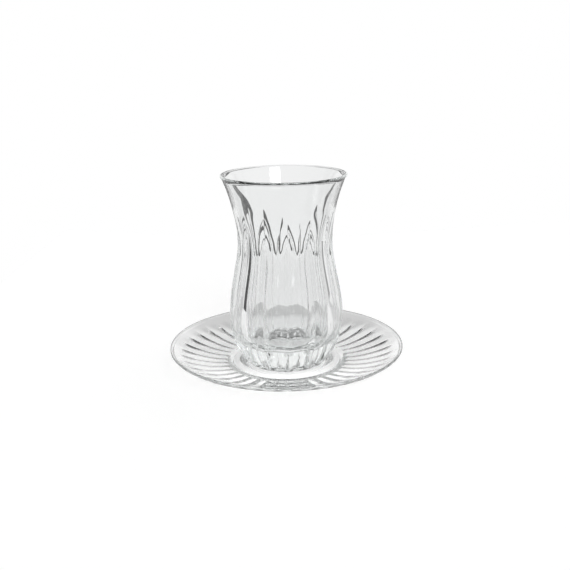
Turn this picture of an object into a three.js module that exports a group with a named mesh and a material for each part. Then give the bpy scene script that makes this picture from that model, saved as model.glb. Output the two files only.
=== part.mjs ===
// A clear tea glass with a pinched waist, standing in the well of its own shallow saucer.
// The glass is fluted outside and smooth inside. The saucer is smooth on top and fluted underneath.
// Millimetres, +Z up. The origin is the centre of the saucer's foot, on the surface that it stands on.
import * as THREE from "three";

// Glass, heights above its own foot
const glassHeight = 92.7;
const rimRadius = 30;
const waistHeight = 62;
const waistRadius = 23.1;
const bellyHeight = 24.5;
const bellyRadius = 28.1;
const footRadius = 19.6;
const tuckPower = 2.2; // how late the side turns in below the belly
const heelRounding = 1.2;
const lipWall = 1.4;
const bodyWall = 2.7;
const bowlHeight = 19; // where the inside starts to round in to its floor
const floorHeight = 9; // the thick bottom
const floorRadius = 13;
const pushUpRadius = 15.5; // the hollow under the foot
const pushUpDepth = 1.1;

// Flutes of the glass
const glassFlutes = 14;
const fluteDepth = 1.8;
const fluteTop = 78; // where a flute starts to sink into the wall
const fluteFull = 50; // where it has its full depth
const fluteHeel = 2; // it runs out over this height at the foot
const fluteTurn = 0.625; // share of a flute by which the glass is turned on its saucer
const pointsPerFlute = 5;

// Saucer
const saucerRadius = 57.5;
const saucerHeight = 13;
const wellRadius = 26;
const wellHeight = 4;
const ringRadius = 28.5;
const ringHeight = 5.1;
const dishPower = 2.1; // how late the dish rises towards the rim
const dishWall = 3;
const edgeWall = 1.4;
const edgeRounding = 0.65;
const standRadius = 27; // outer edge of the foot ring
const standWidth = 7;
const standHollow = 0.8;
const standBevel = 1.2;

// Flutes under the saucer
const saucerFlutes = 40;
const ribDepth = 1.3; // at the saucer's edge, shallower towards the middle
const ribStart = 29.5;
const ribEnd = 56;
const ribRunIn = 1.5;
const ribRunOut = 6;
const pointsPerRib = 4;

// Steps along the outlines
const underSteps = 2;
const outsideSteps = 18;
const insideSteps = 10;
const bowlSteps = 4;
const backSteps = 7;
const dishSteps = 5;
const ringSteps = 3;
const edgeSteps = 4;

const seatGap = 0.1; // between the glass's foot and the well
const fullTurn = 2 * Math.PI;

// 0 to 1 with level ends
function smooth(t) {
  const u = THREE.MathUtils.clamp(t, 0, 1);
  return u * u * (3 - 2 * u);
}

// Share of the depth across one flute: 1 along its middle, 0 on the sharp ridges at its sides
function hollowAcross(angle, count) {
  const turns = (angle / fullTurn) * count;
  const side = 2 * (turns - Math.floor(turns)) - 1;
  return 1 - side * side;
}

// Outer radius of the glass over its ridges: a parabola at the flare, an easy curve from waist to belly
// and a power curve from the belly to the foot
function glassRadius(z) {
  if (z >= waistHeight) {
    const flare = (z - waistHeight) / (glassHeight - waistHeight);
    return waistRadius + (rimRadius - waistRadius) * flare ** 2;
  }
  if (z >= bellyHeight) {
    const swell = (waistHeight - z) / (waistHeight - bellyHeight);
    return waistRadius + (bellyRadius - waistRadius) * smooth(swell);
  }
  const tuck = (bellyHeight - z) / bellyHeight;
  return bellyRadius - (bellyRadius - footRadius) * tuck ** tuckPower;
}

// The wall thins evenly from the waist to the lip
function glassWallAt(z) {
  const up = (z - waistHeight) / (glassHeight - waistHeight);
  return THREE.MathUtils.lerp(bodyWall, lipWall, THREE.MathUtils.clamp(up, 0, 1));
}

function fluteDepthAt(z) {
  return fluteDepth * smooth((fluteTop - z) / (fluteTop - fluteFull)) * smooth(z / fluteHeel);
}

// Evenly spaced values from a to b, without b
function steps(a, b, count) {
  return Array.from({ length: count }, (_, i) => a + ((b - a) * i) / count);
}

// Points on an arc, ends included
function arc(cx, cy, rx, ry, from, to, count) {
  return steps(from, to, count)
    .concat(to)
    .map((a) => new THREE.Vector2(cx + rx * Math.cos(a), cy + ry * Math.sin(a)));
}

// The glass's outline from the axis under the foot, up the outside, over the lip and down the inside
function glassOutline() {
  const under = steps(0, pushUpRadius, underSteps).map(
    (r) => new THREE.Vector2(r, pushUpDepth * (1 - (r / pushUpRadius) ** 2)),
  );
  const stand = [
    new THREE.Vector2(pushUpRadius, 0),
    new THREE.Vector2(glassRadius(0) - heelRounding, 0),
  ];
  const chamfer = heelRounding / 4;
  const heel = [new THREE.Vector2(glassRadius(chamfer) - chamfer, chamfer)];
  const lipHeight = glassHeight - lipWall / 2;
  const outside = steps(heelRounding, lipHeight, outsideSteps).map(
    (z) => new THREE.Vector2(glassRadius(z), z),
  );
  const lip = arc(rimRadius - lipWall / 2, lipHeight, lipWall / 2, lipWall / 2, 0, Math.PI, edgeSteps);
  const inside = steps(lipHeight, bowlHeight, insideSteps)
    .slice(1)
    .map((z) => new THREE.Vector2(glassRadius(z) - glassWallAt(z), z));
  const bowlReach = glassRadius(bowlHeight) - bodyWall - floorRadius;
  const bowlDepth = bowlHeight - floorHeight;
  const bowl = arc(floorRadius, bowlHeight, bowlReach, bowlDepth, 0, -Math.PI / 2, bowlSteps);
  const centre = [new THREE.Vector2(0, floorHeight)];
  return [...under, ...stand, ...heel, ...outside, ...lip, ...inside, ...bowl, ...centre];
}

// Height of the saucer's upper face beyond the ring round the well
function dishHeight(r) {
  const out = (r - ringRadius) / (saucerRadius - ringRadius);
  return ringHeight + (saucerHeight - ringHeight) * Math.max(out, 0) ** dishPower;
}

// The dish thins evenly towards its edge
function dishWallAt(r) {
  const out = (r - ribStart) / (saucerRadius - ribStart);
  return THREE.MathUtils.lerp(dishWall, edgeWall, THREE.MathUtils.clamp(out, 0, 1));
}

function ribDepthAt(r) {
  const depth = (ribDepth * r) / saucerRadius;
  return depth * smooth((r - ribStart) / ribRunIn) * smooth((ribEnd - r) / ribRunOut);
}

// The saucer's outline from the axis underneath, along the underside, round the edge and back over the top
function saucerOutline() {
  const standInner = standRadius - standWidth;
  const under = [
    new THREE.Vector2(0, standHollow),
    new THREE.Vector2(standInner - standHollow, standHollow),
    new THREE.Vector2(standInner, 0),
    new THREE.Vector2(standRadius, 0),
    new THREE.Vector2(standRadius + standBevel, standBevel),
  ];
  const edgeRadius = saucerRadius - edgeRounding;
  const edgeHeight = saucerHeight - edgeRounding;
  const back = steps(ribStart, edgeRadius, backSteps).map(
    (r) => new THREE.Vector2(r, dishHeight(r) - dishWallAt(r)),
  );
  const quarter = Math.PI / 2;
  const edge = arc(edgeRadius, edgeHeight, edgeRounding, edgeRounding, -quarter, quarter, edgeSteps);
  const top = steps(edgeRadius, ringRadius, dishSteps)
    .slice(1)
    .map((r) => new THREE.Vector2(r, dishHeight(r)));
  const ring = steps(0, 1, ringSteps).map(
    (t) =>
      new THREE.Vector2(
        THREE.MathUtils.lerp(ringRadius, wellRadius, t),
        THREE.MathUtils.lerp(ringHeight, wellHeight, smooth(t)),
      ),
  );
  const well = [new THREE.Vector2(wellRadius, wellHeight), new THREE.Vector2(0, wellHeight)];
  return [...under, ...back, ...edge, ...top, ...ring, ...well];
}

// A solid of revolution about +Z, starting at +X, whose points are then moved by shape(point, angle)
function turned(outline, segments, shape) {
  const geometry = new THREE.LatheGeometry(outline, segments, fullTurn / 4);
  geometry.rotateX(Math.PI / 2);
  const position = geometry.getAttribute("position");
  const point = new THREE.Vector3();
  for (let i = 0; i < position.count; i++) {
    point.fromBufferAttribute(position, i);
    shape(point, Math.atan2(point.y, point.x));
    position.setXYZ(i, point.x, point.y, point.z);
  }
  geometry.computeVertexNormals();
  return geometry;
}

// Flutes sink only the outer face of the glass
function fluteGlass(point, angle) {
  const radius = Math.hypot(point.x, point.y);
  const middle = glassRadius(point.z) - glassWallAt(point.z) / 2;
  if (radius < middle || point.z < heelRounding / 2) return;
  const sunk = radius - fluteDepthAt(point.z) * hollowAcross(angle, glassFlutes);
  point.x *= sunk / radius;
  point.y *= sunk / radius;
}

// Flutes rise into the underside of the dish
function fluteSaucer(point, angle) {
  const radius = Math.hypot(point.x, point.y);
  if (radius < ribStart || point.z > dishHeight(radius) - dishWallAt(radius) / 2) return;
  point.z += ribDepthAt(radius) * hollowAcross(angle, saucerFlutes);
}

function clearGlass() {
  return new THREE.MeshStandardMaterial({
    color: 0xe9eeec,
    roughness: 0.03,
    metalness: 0,
    transparent: true,
    opacity: 0.35,
  });
}

function makeGlass() {
  const geometry = turned(glassOutline(), glassFlutes * pointsPerFlute, fluteGlass);
  const glass = new THREE.Mesh(geometry, clearGlass());
  glass.name = "glass";
  glass.rotation.z = (fluteTurn * fullTurn) / glassFlutes;
  glass.position.z = wellHeight + seatGap;
  return glass;
}

function makeSaucer() {
  const geometry = turned(saucerOutline(), saucerFlutes * pointsPerRib, fluteSaucer);
  const saucer = new THREE.Mesh(geometry, clearGlass());
  saucer.name = "saucer";
  return saucer;
}

const teaGlass = new THREE.Group();
teaGlass.add(makeSaucer(), makeGlass());

export default teaGlass;
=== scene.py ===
import math

import bpy
from mathutils import Matrix


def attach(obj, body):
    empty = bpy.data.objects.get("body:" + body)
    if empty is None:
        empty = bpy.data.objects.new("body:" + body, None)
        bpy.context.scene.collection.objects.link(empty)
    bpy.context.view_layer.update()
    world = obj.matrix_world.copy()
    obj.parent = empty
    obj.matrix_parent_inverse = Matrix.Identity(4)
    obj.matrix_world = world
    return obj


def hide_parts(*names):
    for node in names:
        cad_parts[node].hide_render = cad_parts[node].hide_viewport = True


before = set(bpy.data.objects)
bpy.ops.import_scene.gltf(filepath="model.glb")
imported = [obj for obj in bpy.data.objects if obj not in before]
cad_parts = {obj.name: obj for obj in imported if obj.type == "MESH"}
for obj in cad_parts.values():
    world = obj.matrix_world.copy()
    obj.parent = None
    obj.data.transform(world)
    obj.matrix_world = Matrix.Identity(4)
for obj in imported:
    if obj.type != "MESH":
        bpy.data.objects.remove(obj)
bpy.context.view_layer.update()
scene = bpy.context.scene
mm = 0.001


# A socket with operators: an expression on values adds its Math nodes to the tree
class Sock:
    def __init__(self, tree, socket):
        self.tree = tree
        self.socket = socket

    def make(self, kind, settings=None, **inputs):
        node = self.tree.nodes.new(kind)
        for name, value in (settings or {}).items():
            setattr(node, name, value)
        for name, value in inputs.items():
            key = int(name[1:]) if name[0] == "i" and name[1:].isdigit() else name.replace("_", " ")
            target = node.inputs[key]
            if isinstance(value, Sock):
                self.tree.links.new(value.socket, target)
            else:
                target.default_value = value
        return node

    def out(self, node, name=0):
        return Sock(self.tree, node.outputs[name])

    def math(self, operation, *values):
        node = self.make("ShaderNodeMath", {"operation": operation},
                         **{f"i{k}": value for k, value in enumerate((self, *values))})
        return self.out(node)

    def of(self, operation, other):
        node = self.make("ShaderNodeMath", {"operation": operation}, i0=other, i1=self)
        return self.out(node)

    def __add__(self, other): return self.math("ADD", other)
    def __radd__(self, other): return self.of("ADD", other)
    def __sub__(self, other): return self.math("SUBTRACT", other)
    def __rsub__(self, other): return self.of("SUBTRACT", other)
    def __mul__(self, other): return self.math("MULTIPLY", other)
    def __rmul__(self, other): return self.of("MULTIPLY", other)
    def __truediv__(self, other): return self.math("DIVIDE", other)


# Materials

def clearGlass(name, settings):
    material = bpy.data.materials.new(name)
    material.use_nodes = True
    tree = material.node_tree
    tree.nodes.clear()
    start = Sock(tree, None)
    where = start.out(start.make("ShaderNodeTexCoord"), "Object")
    wave = start.out(start.make("ShaderNodeTexNoise", Vector=where, Scale=settings["waveScale"],
                                Detail=1.0, Roughness=0.4), 0)
    haze = start.out(start.make("ShaderNodeTexNoise", Vector=where, Scale=settings["hazeScale"],
                                Detail=3.0, Roughness=0.6), 0)
    height = start.out(start.make("ShaderNodeSeparateXYZ", Vector=where), "Z")
    low = start.out(start.make("ShaderNodeMapRange", {"interpolation_type": "SMOOTHSTEP"}, i0=height,
                               i1=settings["pressTop"] * mm, i2=settings["pressFull"] * mm, i3=0.0, i4=1.0))
    press = start.out(start.make("ShaderNodeTexNoise", Vector=where, Scale=settings["pressScale"],
                                 Detail=1.0, Roughness=0.5), 0)
    bump = start.out(start.make("ShaderNodeBump", Strength=settings["waveStrength"],
                                Distance=settings["waveDistance"],
                                Height=wave + settings["pressDepth"] * press * low), "Normal")
    roughness = settings["roughness"] + settings["hazeRoughness"] * haze
    shader = start.make("ShaderNodeBsdfPrincipled", Roughness=roughness, Normal=bump, IOR=settings["ior"],
                        Transmission_Weight=1.0, Base_Color=settings["tint"])
    volume = start.make("ShaderNodeVolumeAbsorption", Color=settings["absorb"], Density=settings["density"])
    end = start.make("ShaderNodeOutputMaterial")
    tree.links.new(shader.outputs["BSDF"], end.inputs["Surface"])
    tree.links.new(volume.outputs["Volume"], end.inputs["Volume"])
    return material


# Shapes

def smooth(t):
    u = min(max(t, 0.0), 1.0)
    return u * u * (3 - 2 * u)


def steps(a, b, count):
    return [a + (b - a) * k / count for k in range(count)]


# One tree turns an outline about the z axis and sinks its flutes. The outline's points carry the depth
def turningTree():
    tree = bpy.data.node_groups.new("turned flutes", "GeometryNodeTree")
    face = tree.interface
    face.new_socket("Outline", in_out="INPUT", socket_type="NodeSocketGeometry")
    for name, kind in (("Segments", "NodeSocketInt"), ("Flutes", "NodeSocketInt"),
                       ("Ridge Rounding", "NodeSocketFloat"), ("Turn", "NodeSocketFloat"),
                       ("Run Out", "NodeSocketFloat"), ("Material", "NodeSocketMaterial")):
        face.new_socket(name, in_out="INPUT", socket_type=kind)
    face.new_socket("Mesh", in_out="OUTPUT", socket_type="NodeSocketGeometry")
    inputNode = tree.nodes.new("NodeGroupInput")
    start = Sock(tree, None)
    given = {name: Sock(tree, inputNode.outputs[name]) for name in
             ("Outline", "Segments", "Flutes", "Ridge Rounding", "Turn", "Run Out", "Material")}
    rows = start.out(start.make("GeometryNodeAttributeDomainSize", Geometry=given["Outline"]), "Point Count")
    grid = start.make("GeometryNodeMeshGrid", Size_X=1.0, Size_Y=1.0, Vertices_X=given["Segments"] + 1,
                      Vertices_Y=rows)
    index = start.out(start.make("GeometryNodeInputIndex"))
    column = (index / rows).math("FLOOR")
    row = index - column * rows
    # columns crowd towards the ridges, which keeps the ridges crisp: side runs from -1 to 1 across a flute
    flute = column / given["Segments"] * given["Flutes"]
    side = ((flute.math("FRACT") - 0.5) * math.pi).math("SINE")
    angle = (flute.math("FLOOR") + 0.5 + 0.5 * side) / given["Flutes"] * (2 * math.pi)
    position = start.out(start.make("GeometryNodeInputPosition"))
    sink = start.out(start.make("GeometryNodeInputNamedAttribute", {"data_type": "FLOAT_VECTOR"},
                                Name="sink"), "Attribute")

    def sampled(field):
        return start.out(start.make("GeometryNodeSampleIndex", {"data_type": "FLOAT_VECTOR"},
                                    Geometry=given["Outline"], Value=field, Index=row))

    def parts(vector):
        node = start.make("ShaderNodeSeparateXYZ", Vector=vector)
        return [start.out(node, axis) for axis in "XYZ"]

    radius, _, height = parts(sampled(position))
    inward, reach, upward = parts(sampled(sink))
    # a rounded |side| takes the edge off the ridges
    soft = given["Ridge Rounding"]
    edge = 1 - side.math("ABSOLUTE")
    rounded = 1 - ((edge * edge + soft * soft).math("SQRT") - soft)
    across = 1 - rounded * rounded
    ending = start.make("ShaderNodeMapRange", {"interpolation_type": "SMOOTHSTEP"}, i0=reach,
                        i1=0.0, i2=given["Run Out"], i3=0.0, i4=1.0)
    hollow = across * start.out(ending)
    radius = radius + inward * hollow
    height = height + upward * hollow
    turn = angle + given["Turn"]
    place = start.out(start.make("ShaderNodeCombineXYZ", X=radius * turn.math("COSINE"),
                                 Y=radius * turn.math("SINE"), Z=height))
    moved = start.make("GeometryNodeSetPosition", Geometry=start.out(grid, "Mesh"), Position=place)
    joined = start.make("GeometryNodeMergeByDistance", Geometry=start.out(moved), Distance=2e-6)
    shaded = start.make("GeometryNodeSetShadeSmooth", Geometry=start.out(joined))
    real = start.make("GeometryNodeRealizeInstances", Geometry=start.out(shaded))
    painted = start.make("GeometryNodeSetMaterial", Geometry=start.out(real), Material=given["Material"])
    end = tree.nodes.new("NodeGroupOutput")
    tree.links.new(painted.outputs[0], end.inputs[0])
    return tree


# The outline is a list of (radius, height, flute depth inwards, flute depth upwards), in millimetres. Fluted
# points also have their distance from the flutes' end, over which the depth runs out
def turnedPiece(name, outline, tree, material, settings):
    line = bpy.data.meshes.new(name + "Outline")
    line.from_pydata([(r * mm, 0, z * mm) for r, z, *rest in outline], [], [])
    sink = line.attributes.new("sink", "FLOAT_VECTOR", "POINT")
    for k, (r, z, inward, upward, *reach) in enumerate(outline):
        sink.data[k].vector = (-inward * mm, reach[0] * mm if reach else 0, upward * mm)
    maker = bpy.data.objects.new(name + "Maker", line)
    scene.collection.objects.link(maker)
    modifier = maker.modifiers.new("turned", "NODES")
    modifier.node_group = tree
    values = {"Segments": settings["segments"], "Flutes": settings["flutes"],
              "Ridge Rounding": settings["ridgeRounding"], "Turn": settings["turn"], "Material": material,
              "Run Out": settings["runOut"] * mm}
    for item in tree.interface.items_tree:
        if item.in_out == "INPUT" and item.name in values:
            modifier[item.identifier] = values[item.name]
    depsgraph = bpy.context.evaluated_depsgraph_get()
    mesh = bpy.data.meshes.new_from_object(maker.evaluated_get(depsgraph), depsgraph=depsgraph)
    mesh.name = name
    bpy.data.objects.remove(maker)
    piece = bpy.data.objects.new(name, mesh)
    scene.collection.objects.link(piece)
    return piece


# Glass: heights are above its own foot, which stands just clear of the saucer's well
glassSet = {
    "height": 92.7, "rimRadius": 30.0, "waistHeight": 62.0, "waistRadius": 23.1,
    "bellyHeight": 24.5, "bellyRadius": 28.1, "footRadius": 19.6, "tuckPower": 2.2, "heelRounding": 1.2,
    "lipWall": 1.4, "bodyWall": 2.7, "bowlHeight": 21.0, "floorHeight": 11.4, "floorRadius": 17.5,
    "pushUpRadius": 15.5, "pushUpDepth": 1.1, "seat": 4.1,
    "flutes": 14, "fluteDepth": 1.8, "fluteTop": 78.0, "runOut": 28.0, "fluteHeel": 2.0,
    "segments": 336, "ridgeRounding": 0.04, "turn": 0.625 * 2 * math.pi / 14, "aboveHeel": 0.3,
    "underSteps": 10, "standSteps": 3, "heelSteps": 6, "outsideSteps": 120, "lipSteps": 12,
    "insideSteps": 48, "bowlSteps": 20, "floorSteps": 5,
}


def glassRadius(z):
    g = glassSet
    if z >= g["waistHeight"]:
        flare = (z - g["waistHeight"]) / (g["height"] - g["waistHeight"])
        return g["waistRadius"] + (g["rimRadius"] - g["waistRadius"]) * flare ** 2
    if z >= g["bellyHeight"]:
        swell = (g["waistHeight"] - z) / (g["waistHeight"] - g["bellyHeight"])
        return g["waistRadius"] + (g["bellyRadius"] - g["waistRadius"]) * smooth(swell)
    tuck = (g["bellyHeight"] - z) / g["bellyHeight"]
    return g["bellyRadius"] - (g["bellyRadius"] - g["footRadius"]) * tuck ** g["tuckPower"]


def glassWall(z):
    g = glassSet
    up = (z - g["waistHeight"]) / (g["height"] - g["waistHeight"])
    return g["bodyWall"] + (g["lipWall"] - g["bodyWall"]) * min(max(up, 0.0), 1.0)


def fluteDepth(z):
    g = glassSet
    return g["fluteDepth"] * smooth(z / g["fluteHeel"])


def glassOutline():
    g = glassSet
    points = [(r, g["pushUpDepth"] * (1 - (r / g["pushUpRadius"]) ** 2), 0, 0)
              for r in steps(0, g["pushUpRadius"], g["underSteps"])]
    rounding = g["heelRounding"]
    lean = g["tuckPower"] * (g["bellyRadius"] - g["footRadius"]) / g["bellyHeight"]
    standEdge = g["footRadius"] - rounding
    points += [(r, 0, 0, 0) for r in steps(g["pushUpRadius"], standEdge, g["standSteps"])]
    # the heel's arc from level to the wall's own slope
    sweep = math.atan2(1, lean)
    points += [(glassRadius(0) - rounding + rounding * math.sin(a), rounding * (1 - math.cos(a)), 0, 0)
               for a in steps(0, sweep, g["heelSteps"])]
    lipHeight = g["height"] - g["lipWall"] / 2
    first = rounding * (1 - math.cos(sweep)) + g["aboveHeel"]
    points += [(glassRadius(z), z, fluteDepth(z), 0, g["fluteTop"] - z)
               for z in steps(first, lipHeight, g["outsideSteps"])]
    half = g["lipWall"] / 2
    points += [(g["rimRadius"] - half + half * math.cos(a), lipHeight + half * math.sin(a), 0, 0)
               for a in steps(0, math.pi, g["lipSteps"])]
    points += [(glassRadius(z) - glassWall(z), z, 0, 0)
               for z in steps(lipHeight, g["bowlHeight"], g["insideSteps"])]
    bowlRadius = glassRadius(g["bowlHeight"]) - g["bodyWall"]
    points += [(g["floorRadius"] + (bowlRadius - g["floorRadius"]) * math.cos(a),
                g["bowlHeight"] - (g["bowlHeight"] - g["floorHeight"]) * math.sin(a), 0, 0)
               for a in steps(0, math.pi / 2, g["bowlSteps"])]
    points += [(r, g["floorHeight"], 0, 0) for r in steps(g["floorRadius"], 0, g["floorSteps"])]
    points.append((0, g["floorHeight"], 0, 0))
    return [(r, z + g["seat"], *rest) for r, z, *rest in points]


saucerSet = {
    "radius": 57.5, "height": 13.0, "wellRadius": 26.0, "wellHeight": 4.0, "ringRadius": 28.5,
    "ringHeight": 5.1, "dishPower": 2.1, "wall": 3.0, "edgeWall": 1.4, "edgeRounding": 0.65,
    "standRadius": 27.0, "standWidth": 7.0, "standHollow": 0.8, "standBevel": 1.2,
    "flutes": 40, "ribDepth": 1.3, "ribStart": 29.5, "ribEnd": 56.0, "ribRunIn": 1.5, "runOut": 12.0,
    "segments": 560, "ridgeRounding": 0.04, "turn": 0.0,
    "hollowSteps": 5, "bevelSteps": 2, "dishSteps": 60, "edgeSteps": 12, "ringSteps": 10, "wellSteps": 6,
}


def dishHeight(r):
    s = saucerSet
    out = max((r - s["ringRadius"]) / (s["radius"] - s["ringRadius"]), 0.0)
    return s["ringHeight"] + (s["height"] - s["ringHeight"]) * out ** s["dishPower"]


def dishWall(r):
    s = saucerSet
    out = min(max((r - s["ribStart"]) / (s["radius"] - s["ribStart"]), 0.0), 1.0)
    return s["wall"] + (s["edgeWall"] - s["wall"]) * out


def ribDepth(r):
    s = saucerSet
    return s["ribDepth"] * r / s["radius"] * smooth((r - s["ribStart"]) / s["ribRunIn"])


def saucerOutline():
    s = saucerSet
    standInner = s["standRadius"] - s["standWidth"]
    hollow = s["standHollow"]
    points = [(0, hollow, 0, 0), (standInner / 2, hollow, 0, 0)]
    points += [(standInner - hollow + hollow * math.sin(a), hollow * math.cos(a), 0, 0)
               for a in steps(0, math.pi / 2, s["hollowSteps"])]
    points.append((standInner, 0, 0, 0))
    bevel = s["standBevel"]
    points += [(s["standRadius"] + bevel * t, bevel * t * t, 0, 0)
               for t in steps(0, 1, s["bevelSteps"]) + [1]]
    edgeRadius = s["radius"] - s["edgeRounding"]
    points += [(r, dishHeight(r) - dishWall(r), 0, ribDepth(r), s["ribEnd"] - r)
               for r in steps(s["ribStart"], edgeRadius, s["dishSteps"])]
    points += [(edgeRadius + s["edgeRounding"] * math.cos(a),
                s["height"] - s["edgeRounding"] + s["edgeRounding"] * math.sin(a), 0, 0)
               for a in steps(-math.pi / 2, math.pi / 2, s["edgeSteps"])]
    points += [(r, dishHeight(r), 0, 0) for r in steps(edgeRadius, s["ringRadius"], s["dishSteps"])]
    span = s["ringRadius"] - s["wellRadius"]
    drop = s["ringHeight"] - s["wellHeight"]
    points += [(s["ringRadius"] - span * t, s["ringHeight"] - drop * smooth(t), 0, 0)
               for t in steps(0, 1, s["ringSteps"])]
    points += [(r, s["wellHeight"], 0, 0) for r in steps(s["wellRadius"], 0, s["wellSteps"])]
    points.append((0, s["wellHeight"], 0, 0))
    return points


glassLook = {
    "ior": 1.5, "tint": (0.912, 0.917, 0.917, 1), "roughness": 0.0, "hazeRoughness": 0.02, "hazeScale": 60.0,
    "waveScale": 55.0, "waveStrength": 0.05, "waveDistance": 0.0008,
    "pressTop": 34.0, "pressFull": 20.0, "pressScale": 220.0, "pressDepth": 8.0,
    "absorb": (0.87, 0.90, 0.89, 1), "density": 12.0,
}
saucerLook = {**glassLook, "tint": (0.985, 0.987, 0.987, 1), "pressDepth": 0.0}
tree = turningTree()
glassMaterial = clearGlass("glass", glassLook)
saucerMaterial = clearGlass("saucer", saucerLook)
glass = turnedPiece("teaGlass", glassOutline(), tree, glassMaterial, glassSet)
saucer = turnedPiece("teaSaucer", saucerOutline(), tree, saucerMaterial, saucerSet)
for piece, node in ((glass, "glass"), (saucer, "saucer")):
    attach(piece, "root")
    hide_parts(node)
    print(piece.name, len(piece.data.polygons), "faces")


# Studio: a white table that glows softly, a light wall behind it and a ceiling brighter on the right.
# Places on the table are in metres, the room's in degrees
studioSet = {
    "floor": (-0.2, 0.26, -0.3, 0.335), "notch": 0.06, "floorGap": 0.0001,
    "floorColor": (0.5, 0.5, 0.5, 1), "floorGlow": 0.55, "floorSeen": 0.63,
    # painted light on the table in front of the saucer and a painted shadow band behind it, both only for
    # rays other than the camera's
    "paintedFrontLight": 0.4, "frontStart": (-0.005, -0.03),
    "paintedShadowBehind": 0.28, "shadeNear": (0.04, 0.06), "shadeFar": (0.09, 0.082),
    # painted shade: the black sheets at the table's far edge, seen only in the glass
    "shadeBar": (0.028, 0.004, 0.016), "barFoot": -0.001, "barColor": (0.01, 0.01, 0.01, 1),
    "low": 0.05, "lowRight": 0.3,
    "ceilingFrom": 20, "ceilingEdge": 8, "ceilingLeft": 0.5, "ceilingRight": 0.88,
    # azimuth from behind the object towards the right, half sizes, soft edges and light: the wall, strips on
    # both sides, the front, a dark patch high behind the object and a softbox
    "panels": (
        {"azimuth": 2, "elevation": -10, "size": (55, 30), "edge": (6, 4), "light": 0.98},
        {"azimuth": -66, "elevation": -10, "size": (4, 30), "edge": (3, 4), "light": 0.9},
        {"azimuth": -95, "elevation": -10, "size": (7, 30), "edge": (3, 4), "light": 0.9},
        {"azimuth": 78, "elevation": -10, "size": (8, 30), "edge": (6, 4), "light": 0.8},
        {"azimuth": 104, "elevation": -10, "size": (9, 30), "edge": (6, 4), "light": 0.7},
        {"azimuth": 178, "elevation": -10, "size": (62, 30), "edge": (6, 4), "light": 0.65},
        {"azimuth": -5, "elevation": 42, "size": (24, 19), "edge": (12, 8), "light": 0.03},
        {"azimuth": 161, "elevation": 38, "size": (12, 14), "edge": (2, 2), "light": 5.0},
    ),
}


def plainMaterial(name, color, glow):
    material = bpy.data.materials.new(name)
    material.use_nodes = True
    shader = material.node_tree.nodes["Principled BSDF"]
    shader.inputs["Base Color"].default_value = color
    shader.inputs["Roughness"].default_value = 1.0
    shader.inputs["Specular IOR Level"].default_value = 0.0
    shader.inputs["Emission Color"].default_value = (glow, glow, glow, 1)
    shader.inputs["Emission Strength"].default_value = 1.0
    return material


# The table is plain to the camera. To other rays it carries painted light in front of the saucer and a
# painted shadow band behind it, which the glass shows
def tableMaterial(settings):
    material = plainMaterial("floor", settings["floorColor"], settings["floorGlow"])
    tree = material.node_tree
    start = Sock(tree, None)
    where = start.out(start.make("ShaderNodeTexCoord"), "Object")
    along = start.out(start.make("ShaderNodeSeparateXYZ", Vector=where), "Y")

    def ramp(none, full):
        return start.out(start.make("ShaderNodeMapRange", {"interpolation_type": "SMOOTHSTEP"}, i0=along,
                                    i1=none, i2=full, i3=0.0, i4=1.0))

    # painted light in front, less a painted shadow band behind; the camera sees neither
    glow = (settings["floorGlow"] + settings["paintedFrontLight"] * ramp(*settings["frontStart"])
            - settings["paintedShadowBehind"] * ramp(*settings["shadeNear"]) * ramp(*settings["shadeFar"]))
    camera = start.out(start.make("ShaderNodeLightPath"), "Is Camera Ray")
    level = glow + (settings["floorSeen"] - glow) * camera
    tree.links.new(level.socket, tree.nodes["Principled BSDF"].inputs["Emission Color"])
    return material


def sheet(name, corners, material):
    mesh = bpy.data.meshes.new(name)
    mesh.from_pydata(corners, [], [range(len(corners))])
    mesh.materials.append(material)
    made = bpy.data.objects.new(name, mesh)
    scene.collection.objects.link(made)
    return made


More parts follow.
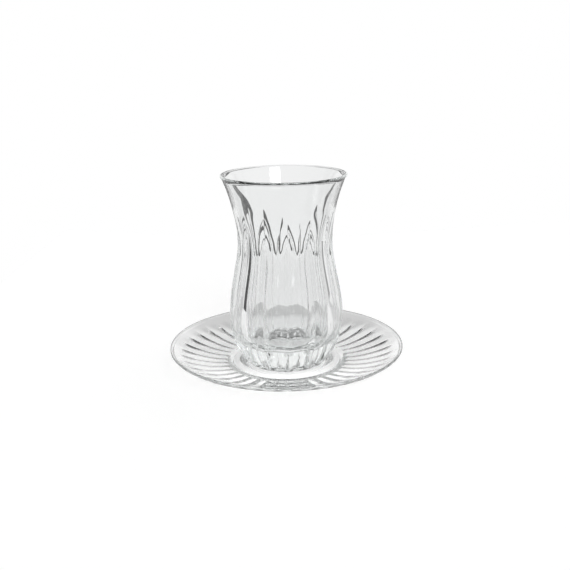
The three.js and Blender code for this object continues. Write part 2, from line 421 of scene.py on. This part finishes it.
def softRoom(settings):
    world = bpy.data.worlds.new("studio")
    scene.world = world
    world.use_nodes = True
    tree = world.node_tree
    tree.nodes.clear()
    start = Sock(tree, None)
    where = start.out(start.make("ShaderNodeTexCoord"), "Generated")

    def along(direction):
        node = start.make("ShaderNodeVectorMath", {"operation": "DOT_PRODUCT"}, i0=where, i1=direction)
        return start.out(node, "Value")

    def within(angle, half, edge):
        node = start.make("ShaderNodeMapRange", {"interpolation_type": "SMOOTHSTEP"}, i0=angle,
                          i1=math.radians(half + edge / 2), i2=math.radians(half - edge / 2), i3=0.0, i4=1.0)
        return start.out(node)

    toRight = along((1, 0, 0))
    height = along((0, 0, 1)).math("ARCSINE")
    level = settings["low"] + settings["lowRight"] * toRight.math("MAXIMUM", 0.0)
    ceiling = 0.5 * (settings["ceilingLeft"] * (1 - toRight) + settings["ceilingRight"] * (1 + toRight))
    share = within(math.pi / 2 - height, 90 - settings["ceilingFrom"], settings["ceilingEdge"])
    level = level + (ceiling - level) * share
    for panel in settings["panels"]:
        centre = math.radians(panel["azimuth"])
        ahead = along((math.sin(centre), math.cos(centre), 0))
        aside = along((math.cos(centre), -math.sin(centre), 0))
        across = aside.math("ARCTAN2", ahead).math("ABSOLUTE")
        updown = (height - math.radians(panel["elevation"])).math("ABSOLUTE")
        (wide, tall), (wideEdge, tallEdge) = panel["size"], panel["edge"]
        share = within(across, wide, wideEdge) * within(updown, tall, tallEdge)
        level = level + (panel["light"] - level) * share
    seen = start.out(start.make("ShaderNodeLightPath"), "Is Camera Ray")
    level = level + (1 - level) * seen
    background = start.make("ShaderNodeBackground", Strength=level)
    background.inputs["Color"].default_value = (1, 1, 1, 1)
    end = start.make("ShaderNodeOutputWorld")
    tree.links.new(background.outputs[0], end.inputs["Surface"])


left, right, front, back = studioSet["floor"]
under = -studioSet["floorGap"]  # a hair of air under the foot, so that light gets through to the floor
middle = back - studioSet["notch"]
sheet("floor", [(left, front, under), (right, front, under), (right, back, under), (0, middle, under),
                (left, back, under)],
      tableMaterial(studioSet))
# painted shade: black sheets rising at the far edge of the table stand in for the unlit room beyond it, and
# show as dark tongues in the flutes, thicker to the left. They are seen only in reflection and refraction
barLeft, barMiddle, barRight = studioSet["shadeBar"]
barFoot = studioSet["barFoot"]
dark = plainMaterial("shadeBar", studioSet["barColor"], 0.0)
for name, outer, rise in (("shadeBarLeft", left, barLeft), ("shadeBarRight", right, barRight)):
    bar = sheet(name, [(outer, back, barFoot), (0, middle, barFoot), (0, middle, barMiddle),
                       (outer, back, rise)], dark)
    bar.visible_camera = False
    bar.visible_diffuse = False
    bar.visible_shadow = False
softRoom(studioSet)

# Camera, as measured from the rims of saucer and glass in the photograph
cameraSet = {"place": (-0.0002, -0.3615, 0.1489), "pitch": 16.46, "roll": -1.0, "fov": 40.58}
cameraData = bpy.data.cameras.new("camera")
cameraData.sensor_fit = "HORIZONTAL"
cameraData.angle = math.radians(cameraSet["fov"])
cameraData.clip_start = 0.01
camera = bpy.data.objects.new("camera", cameraData)
scene.collection.objects.link(camera)
camera.matrix_world = (Matrix.Translation(cameraSet["place"])
                       @ Matrix.Rotation(math.radians(90 - cameraSet["pitch"]), 4, "X")
                       @ Matrix.Rotation(math.radians(cameraSet["roll"]), 4, "Z"))
scene.camera = camera

scene.view_settings.view_transform = "Standard"
scene.cycles.max_bounces = 32
scene.cycles.transmission_bounces = 32
scene.cycles.glossy_bounces = 12
scene.cycles.diffuse_bounces = 4
scene.cycles.use_denoising = True
scene.cycles.blur_glossy = 0.2

print("studio ready")
